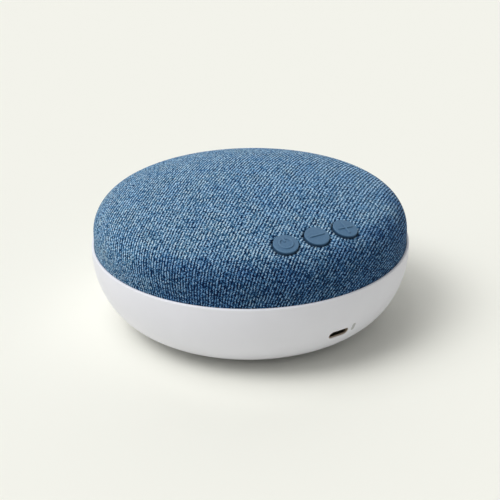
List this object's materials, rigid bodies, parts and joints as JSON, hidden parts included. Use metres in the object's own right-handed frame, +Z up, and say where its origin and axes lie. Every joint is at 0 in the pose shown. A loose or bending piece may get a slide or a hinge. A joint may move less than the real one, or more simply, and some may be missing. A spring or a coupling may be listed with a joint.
{
  "type": "white noise sound machine",
  "caption": "Round table-top white noise speaker: white moulded bowl, domed grille under blue twill fabric, push keys on the dome and a charging slot in the side.",
  "frame": {"origin": "centre of the face that the foot ring rests on", "axes": "+Z up through the dome, -Y towards the keys, +X to the right of someone who faces the keys"},
  "size_m": [0.134, 0.134, 0.0635],
  "materials": {
    "white_shell": "satin white injection moulded ABS",
    "blue_fabric": "coarse denim-like twill in navy and pale blue yarns",
    "blue_key": "smooth slate blue plastic",
    "grey_silicone": "light grey silicone",
    "light_pipe": "milky polycarbonate",
    "inner_plastic": "black ABS",
    "green_board": "green solder mask on glass epoxy",
    "black_component": "black epoxy or nylon",
    "white_component": "natural nylon connector",
    "steel": "zinc plated steel",
    "port_shell": "drawn stainless steel",
    "ferrite": "sintered ferrite",
    "paper_cone": "black pulp paper",
    "rubber_surround": "butyl rubber",
    "cloth_spider": "resin-stiffened cotton",
    "copper_coil": "enamelled copper on a kapton former",
    "foam": "closed cell foam",
    "cell_wrap": "shrink-wrapped lithium cell",
    "capacitor_sleeve": "sleeved aluminium can",
    "wire_red": "PVC insulation",
    "ribbon_white": "flat flexible cable",
    "led_body": "surface mount light emitter"
  },
  "bodies": {
    "housing": {"amplifier_chip": "black_component", "base_shell": "white_shell", "battery_cell": "cell_wrap", "battery_connector": "white_component", "battery_leads": "wire_red", "button_board": "green_board", "button_board_connector": "white_component", "button_board_screws": "steel", "button_ribbon": "ribbon_white", "capacitors": "capacitor_sleeve", "case_screws": "steel", "charge_led": "led_body", "charge_light_pipe": "light_pipe", "dome_screws": "steel", "fabric_cover": "blue_fabric", "foot_ring": "grey_silicone", "grille_dome": "inner_plastic", "main_board": "green_board", "main_board_screws": "steel", "ribbon_connector": "white_component", "sound_chip": "black_component", "speaker_back_plate": "steel", "speaker_baffle": "inner_plastic", "speaker_connector": "white_component", "speaker_frame": "steel", "speaker_gasket": "foam", "speaker_leads": "wire_red", "speaker_magnet": "ferrite", "speaker_screws": "steel", "speaker_spider": "cloth_spider", "speaker_surround": "rubber_surround", "speaker_terminals": "green_board", "speaker_top_plate": "steel", "switch_minus": "black_component", "switch_plus": "black_component", "switch_power": "black_component", "usb_receptacle": "port_shell", "usb_tongue": "black_component"},
    "cone_assembly": {"speaker_cone": "paper_cone", "speaker_dust_cap": "paper_cone", "voice_coil": "copper_coil"},
    "key_power": {"button_power": "blue_key", "plunger_power": "white_component"},
    "key_minus": {"button_minus": "blue_key", "plunger_minus": "white_component"},
    "key_plus": {"button_plus": "blue_key", "plunger_plus": "white_component"}
  },
  "joints": [
    {"name": "key_power_press", "type": "slide", "parent": "housing", "child": "key_power", "axis": [0, 0.323, -0.9464], "range_m": [0, 0.0005], "stiffness_N_per_m": 700, "springref_m": -0.0006},
    {"name": "key_minus_press", "type": "slide", "parent": "housing", "child": "key_minus", "axis": [0, 0.323, -0.9464], "range_m": [0, 0.0005], "stiffness_N_per_m": 700, "springref_m": -0.0006},
    {"name": "key_plus_press", "type": "slide", "parent": "housing", "child": "key_plus", "axis": [0, 0.323, -0.9464], "range_m": [0, 0.0005], "stiffness_N_per_m": 700, "springref_m": -0.0006},
    {"name": "cone_travel", "type": "slide", "parent": "housing", "child": "cone_assembly", "axis": [0, 0, 1], "range_m": [-0.0015, 0.0015], "stiffness_N_per_m": 1200, "deforming": ["speaker_surround", "speaker_spider"]}
  ]
}
